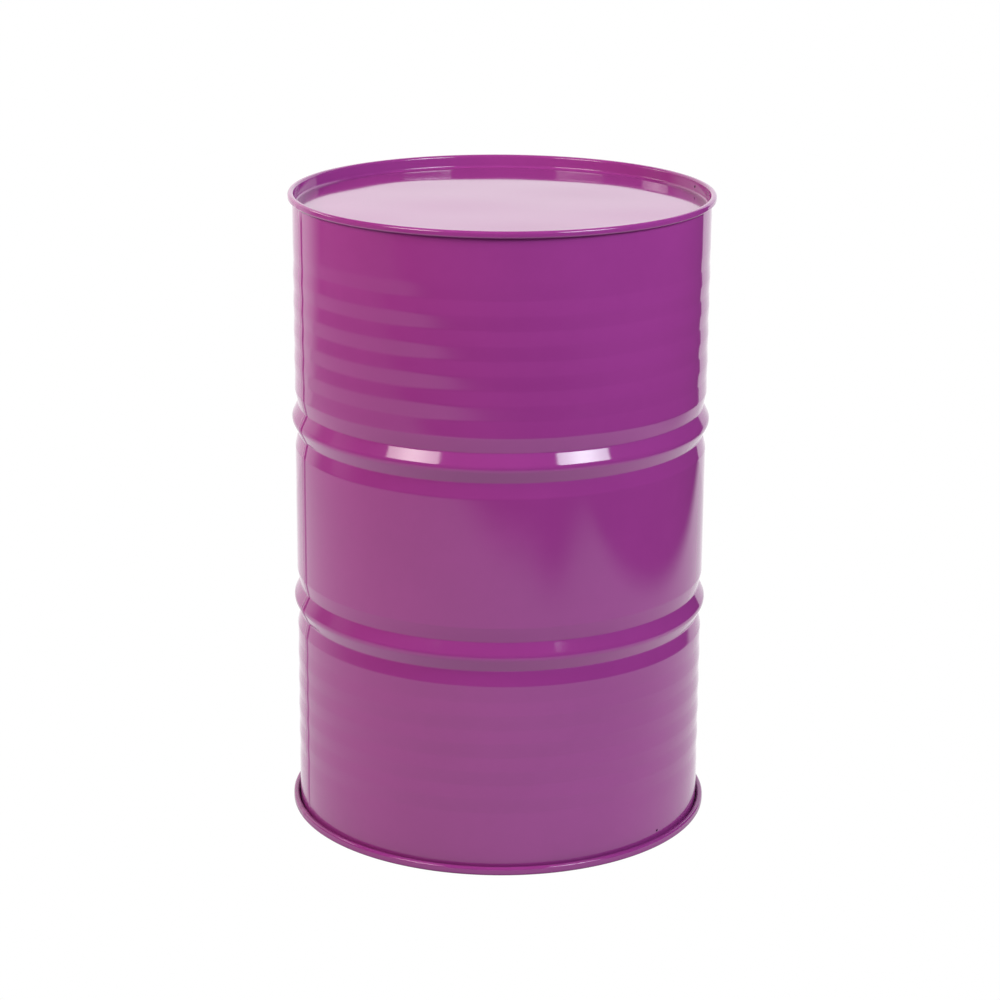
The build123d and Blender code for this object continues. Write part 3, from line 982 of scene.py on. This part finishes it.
def stage_sheet(name, points, faces, material):
    mesh = bpy.data.meshes.new(name)
    mesh.from_pydata(points, [], faces)
    mesh.materials.append(material)
    sheet = bpy.data.objects.new(name, mesh)
    bpy.context.scene.collection.objects.link(sheet)
    return sheet


def stage_material(name, brightness, shade=None, seen=None):
    """Plain lit surface: the given brightness in reflections, white where it is looked at, clear from behind.

    shade(tree, place) may return a socket that scales the brightness over the surface, and
    seen(tree, place) one for how bright it looks.
    """
    material = bpy.data.materials.new(name)
    material.use_nodes = True
    tree = material.node_tree
    tree.nodes.clear()
    out = tree.nodes.new("ShaderNodeOutputMaterial")
    glow = tree.nodes.new("ShaderNodeEmission")
    path = tree.nodes.new("ShaderNodeLightPath")
    geometry = tree.nodes.new("ShaderNodeNewGeometry")
    clear = tree.nodes.new("ShaderNodeBsdfTransparent")
    choose = tree.nodes.new("ShaderNodeMixShader")
    strength = tree.nodes.new("ShaderNodeMix")
    strength.inputs[2].default_value = brightness
    strength.inputs[3].default_value = 1.0
    if shade:
        place = tree.nodes.new("ShaderNodeTexCoord").outputs["Object"]
        tree.links.new(math_node(tree, "MULTIPLY", shade(tree, place), brightness), strength.inputs[2])
    if seen:
        tree.links.new(seen(tree, place), strength.inputs[3])
    tree.links.new(path.outputs["Is Camera Ray"], strength.inputs[0])
    tree.links.new(strength.outputs[0], glow.inputs["Strength"])
    tree.links.new(geometry.outputs["Backfacing"], choose.inputs[0])
    tree.links.new(glow.outputs[0], choose.inputs[1])
    tree.links.new(clear.outputs[0], choose.inputs[2])
    tree.links.new(choose.outputs[0], out.inputs["Surface"])
    return material


def paper_shade(tree, place):
    """Light on the paper: even near the drum, weaker further out, and dying softly at its edges."""
    length = vector_node(tree, "LENGTH", place)
    shade = ranged(tree, length.outputs["Value"], PAPER_NEAR, PAPER_FAR, 1.0, 1.0 - PAPER_LOSS)
    wall = BODY_RADIUS * MM
    beside = ranged(tree, length.outputs["Value"], wall, wall + UNDER_EDGE, UNDER_LIGHT, 1.0)
    shade = math_node(tree, "MULTIPLY", shade, beside)
    distance = vector_node(tree, "DISTANCE", place, (*PAPER_SHADOW, 0))
    lit = ranged(tree, distance.outputs["Value"], 0.0, PAPER_SHADOW_REACH, 1.0 - PAPER_SHADOW_DEPTH, 1.0)
    shade = math_node(tree, "MULTIPLY", shade, lit)
    for (x0, y0), (x1, y1), soft in PAPER_EDGES:
        inward = Vector((y0 - y1, x1 - x0, 0)).normalized()
        edge = inward.dot(Vector((x0, y0, 0)))
        across = vector_node(tree, "DOT_PRODUCT", place, inward)
        inside = ranged(tree, across.outputs["Value"], edge - soft / 2, edge + soft / 2)
        shade = math_node(tree, "MULTIPLY", shade, inside)
    return shade


def paper_seen(tree, place):
    """The paper looks white, and is in the drum's shadow under the drum."""
    length = vector_node(tree, "LENGTH", place)
    edge = (BODY_RADIUS - SHEET) * MM
    return ranged(tree, length.outputs["Value"], edge - 2 * MM, edge, UNDER_LOOK, 1.0)


def backdrop_shade(tree, place):
    """Light on the backdrop, stronger higher up and weak at its left end."""
    split = tree.nodes.new("ShaderNodeSeparateXYZ")
    tree.links.new(place, split.inputs[0])
    upwards = ranged(tree, split.outputs["Z"], BACKDROP_DIM, BACKDROP_BRIGHT, 1.0, 1.0 + BACKDROP_GAIN)
    sideways = ranged(tree, split.outputs["X"], *BACKDROP_FADE, BACKDROP_END, 1.0)
    return math_node(tree, "MULTIPLY", upwards, sideways)


def direction(turn, rise):
    """Unit vector towards a turn from the front (right positive) and a rise above level, in degrees."""
    a, e = radians(turn), radians(rise)
    return Vector((sin(a) * cos(e), -cos(a) * cos(e), sin(e)))


def area_lamp(name, width, height, brightness, tint):
    """Rectangular lamp, brightest in its middle, that fades at its rim."""
    light = bpy.data.lights.new(name, "AREA")
    light.shape = "RECTANGLE"
    light.size = width
    light.size_y = height
    light.energy = brightness * pi * width * height
    light.color = tint
    light.use_nodes = True
    tree = light.node_tree
    glow = next(node for node in tree.nodes if node.type == "EMISSION")
    geometry = tree.nodes.new("ShaderNodeNewGeometry")
    split = tree.nodes.new("ShaderNodeSeparateXYZ")
    tree.links.new(geometry.outputs["Parametric"], split.inputs[0])
    total = None
    for axis in ("X", "Y"):
        middle = math_node(tree, "ABSOLUTE", math_node(tree, "SUBTRACT", split.outputs[axis], 0.5), 0)
        start, end, strongest = (0.0, 0.45, 1.3) if axis == "X" else (0.3, 0.5, 1.0)
        swell = ranged(tree, middle, start, end, strongest, 0.8)
        rim = ranged(tree, middle, 0.43, 0.5, 1.0, 0.0)
        part = math_node(tree, "MULTIPLY", swell, rim)
        total = part if total is None else math_node(tree, "MULTIPLY", total, part)
    tree.links.new(total, glow.inputs["Strength"])
    lamp = bpy.data.objects.new(name, light)
    lamp.visible_camera = False
    bpy.context.scene.collection.objects.link(lamp)
    return lamp


def softbox(name, box, brightness):
    """Softbox that stands upright and faces the drum."""
    width = 2 * box["distance"] * tan(radians(box["half_turn"]))
    lamp = area_lamp(name, width, box["high"] - box["low"], brightness, box["tint"])
    middle = Vector((0, 0, (box["low"] + box["high"]) / 2))
    lamp.location = direction(box["turn"], 0) * box["distance"] + middle
    lamp.rotation_euler = (pi / 2, 0, radians(box["turn"]))
    return lamp


def high_lamp(name, place, brightness):
    """Square lamp high up at one side, tilted to face the drum."""
    lamp = area_lamp(name, LAMP_SIZE, LAMP_SIZE, brightness, place["tint"])
    way = direction(place["turn"], place["rise"])
    lamp.location = way * LAMP_DISTANCE + Vector((0, 0, HEIGHT * MM / 2))
    lamp.rotation_euler = (-way).to_track_quat("-Z", "Y").to_euler()
    lamp.visible_glossy = False
    return lamp


def add_camera():
    camera = bpy.data.cameras.new("camera")
    camera.lens = CAMERA_LENS
    camera.sensor_width = 36.0
    holder = bpy.data.objects.new("camera", camera)
    holder.location = CAMERA_PLACE
    aim = Euler((radians(90 - CAMERA_PITCH), 0, 0)).to_matrix()
    holder.rotation_euler = (aim @ Euler((0, 0, radians(CAMERA_ROLL))).to_matrix()).to_euler()
    bpy.context.scene.collection.objects.link(holder)
    bpy.context.scene.camera = holder


def room_glow(tree, coordinates, turn, rise, tight, wide, brightness):
    """Soft patch of light in the dark room, full inside the tight angle and gone at the wide one."""
    dot = vector_node(tree, "DOT_PRODUCT", coordinates, direction(turn, rise))
    return ranged(tree, dot.outputs["Value"], cos(radians(wide)), cos(radians(tight)), 0.0, brightness)


def add_room():
    """World: white where it is looked at, and a dark room with one weak patch of light in reflections."""
    world = bpy.data.worlds.new("room")
    bpy.context.scene.world = world
    world.use_nodes = True
    tree = world.node_tree
    tree.nodes.clear()
    out = tree.nodes.new("ShaderNodeOutputWorld")
    sky = tree.nodes.new("ShaderNodeBackground")
    path = tree.nodes.new("ShaderNodeLightPath")
    coordinates = tree.nodes.new("ShaderNodeTexCoord").outputs["Generated"]
    left = room_glow(tree, coordinates, **ROOM_GLOW)
    glow = math_node(tree, "ADD", left, ROOM_LIGHT)
    shown = math_node(tree, "MAXIMUM", glow, path.outputs["Is Camera Ray"])
    tree.links.new(shown, sky.inputs["Strength"])
    tree.links.new(sky.outputs[0], out.inputs["Surface"])


# ---- operators -----------------------------------------------------------------------------------

class DRUM_OT_body(bpy.types.Operator):
    """Painted body sheet with its hoops, corrugations, welded lap and drain holes"""
    bl_idname = "drum.body"
    bl_label = "Painted Body"

    def execute(self, context):
        scene = context.scene
        new_piece("painted_body", body_mesh(scene.drum_sheets), "drum",
                  gloss_paint(scene.drum_finish), ["body_shell"])
        return {"FINISHED"}


class DRUM_OT_top_head(bpy.types.Operator):
    """Painted top head: a plain disc, an upright wall and the outside of the rolled seam"""
    bl_idname = "drum.top_head"
    bl_label = "Painted Top Head"

    def execute(self, context):
        scene = context.scene
        mesh = head_mesh("painted_top_head", TOP_SEAM, TOP_RECESS, True, scene.drum_sheets)
        mesh = combined(mesh, [("DIFFERENCE", drill_mesh(TOP_DRAIN))])
        new_piece("painted_top_head", mesh, "drum", gloss_paint(scene.drum_finish),
                  ["top_head"])
        return {"FINISHED"}


class DRUM_OT_bottom_head(bpy.types.Operator):
    """Painted bottom head, with a drawn collar around each closure"""
    bl_idname = "drum.bottom_head"
    bl_label = "Painted Bottom Head"

    def execute(self, context):
        scene = context.scene
        mesh = head_mesh("painted_bottom_head", BOTTOM_SEAM, BOTTOM_RECESS, False, scene.drum_sheets)
        steps = [("DIFFERENCE", drill_mesh(BOTTOM_DRAIN))]
        steps += [("DIFFERENCE", hole_mesh(closure)) for closure in (LARGE, SMALL)]
        steps += [("UNION", collar_mesh(closure)) for closure in (LARGE, SMALL)]
        new_piece("painted_bottom_head", combined(mesh, steps), "drum",
                  gloss_paint(scene.drum_finish), ["bottom_head"])
        return {"FINISHED"}


class DRUM_OT_closures(bpy.types.Operator):
    """Threaded inserts in the bottom head and the screw plugs that close them"""
    bl_idname = "drum.closures"
    bl_label = "Screwed Closures"

    def execute(self, context):
        zinc = zinc_plating(context.scene.drum_finish)
        for closure in (LARGE, SMALL):
            name = closure["name"]
            new_piece(name + "_threaded_insert", flange_mesh(closure), "drum", zinc,
                      [name + "_flange"])
            new_piece(name + "_screw_plug", plug_mesh(closure), name + "_plug", zinc,
                      [name + "_plug"])
        return {"FINISHED"}


class DRUM_OT_seals(bpy.types.Operator):
    """Finish of the four gaskets and of the compound in both rolled seams"""
    bl_idname = "drum.seals"
    bl_label = "Seals"

    def execute(self, context):
        finish = context.scene.drum_finish
        rubber, compound = gasket_rubber(finish), seam_compound(finish)
        for node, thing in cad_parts.items():
            if node.endswith("_gasket"):
                thing.material_slots[0].material = rubber
            elif node.endswith("_compound"):
                thing.material_slots[0].material = compound
        return {"FINISHED"}


class DRUM_OT_stage(bpy.types.Operator):
    """Pale floor, white paper and backdrop, softboxes, high lamps, a dark room and the camera"""
    bl_idname = "drum.stage"
    bl_label = "Stage"

    def execute(self, context):
        studio = context.scene.drum_studio
        floor_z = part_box("bottom_head")[0].z - 0.0002
        left, right, back, front = PAPER_LEFT, PAPER_RIGHT, PAPER_BACK, PAPER_FRONT
        paper_points = [(left, front, floor_z), (right, front, floor_z), (right, back, floor_z),
                        (left, back, floor_z)]
        stage_sheet("paper", paper_points, [[0, 1, 2, 3]],
                    stage_material("white_paper", studio.paper, paper_shade, paper_seen))
        reach = FLOOR_REACH
        floor_points = [(-reach, -reach, floor_z - 0.01), (reach, -reach, floor_z - 0.01),
                        (reach, reach, floor_z - 0.01), (-reach, reach, floor_z - 0.01)]
        stage_sheet("floor", floor_points, [[0, 1, 2, 3]], stage_material("pale_floor", FLOOR_LIGHT))
        wall_points = [(left, back, floor_z), (right, back, floor_z), (right, back, BACKDROP_HEIGHT),
                       (left, back, BACKDROP_HEIGHT)]
        wall = stage_sheet("backdrop", wall_points, [[0, 1, 2, 3]],
                           stage_material("backdrop", studio.paper, backdrop_shade))
        wall.visible_camera = False
        softbox("left_softbox", LEFT_BOX, studio.left_box)
        softbox("right_softbox", RIGHT_BOX, studio.right_box)
        softbox("side_softbox", SIDE_BOX, studio.side_box)
        high_lamp("left_lamp", LEFT_LAMP, studio.left_lamp)
        high_lamp("right_lamp", RIGHT_LAMP, studio.right_lamp)
        add_room()
        add_camera()
        context.scene.view_settings.view_transform = "Standard"
        return {"FINISHED"}


PIECE_OPERATORS = (DRUM_OT_body, DRUM_OT_top_head, DRUM_OT_bottom_head, DRUM_OT_closures, DRUM_OT_seals,
                   DRUM_OT_stage)


class DRUM_PT_panel(bpy.types.Panel):
    """Buttons and settings for the drum's pieces"""
    bl_label = "Steel Drum"
    bl_idname = "DRUM_PT_panel"
    bl_space_type = "VIEW_3D"
    bl_region_type = "UI"
    bl_category = "Drum"

    def draw(self, context):
        for settings in (context.scene.drum_sheets, context.scene.drum_finish, context.scene.drum_studio):
            column = self.layout.column()
            for name in settings.bl_rna.properties.keys():
                if name not in ("rna_type", "name"):
                    column.prop(settings, name)
        for operator in PIECE_OPERATORS:
            self.layout.operator(operator.bl_idname)


CLASSES = (DrumSheetSettings, DrumFinishSettings, DrumStudioSettings) + PIECE_OPERATORS + (DRUM_PT_panel,)


def register():
    for cls in CLASSES:
        bpy.utils.register_class(cls)
    bpy.types.Scene.drum_sheets = bpy.props.PointerProperty(type=DrumSheetSettings)
    bpy.types.Scene.drum_finish = bpy.props.PointerProperty(type=DrumFinishSettings)
    bpy.types.Scene.drum_studio = bpy.props.PointerProperty(type=DrumStudioSettings)


def unregister():
    del bpy.types.Scene.drum_sheets
    del bpy.types.Scene.drum_finish
    del bpy.types.Scene.drum_studio
    for cls in reversed(CLASSES):
        bpy.utils.unregister_class(cls)


def main():
    register()
    bpy.ops.drum.body()
    bpy.ops.drum.top_head()
    bpy.ops.drum.bottom_head()
    bpy.ops.drum.closures()
    bpy.ops.drum.seals()
    bpy.ops.drum.stage()


if __name__ == "__main__":
    main()
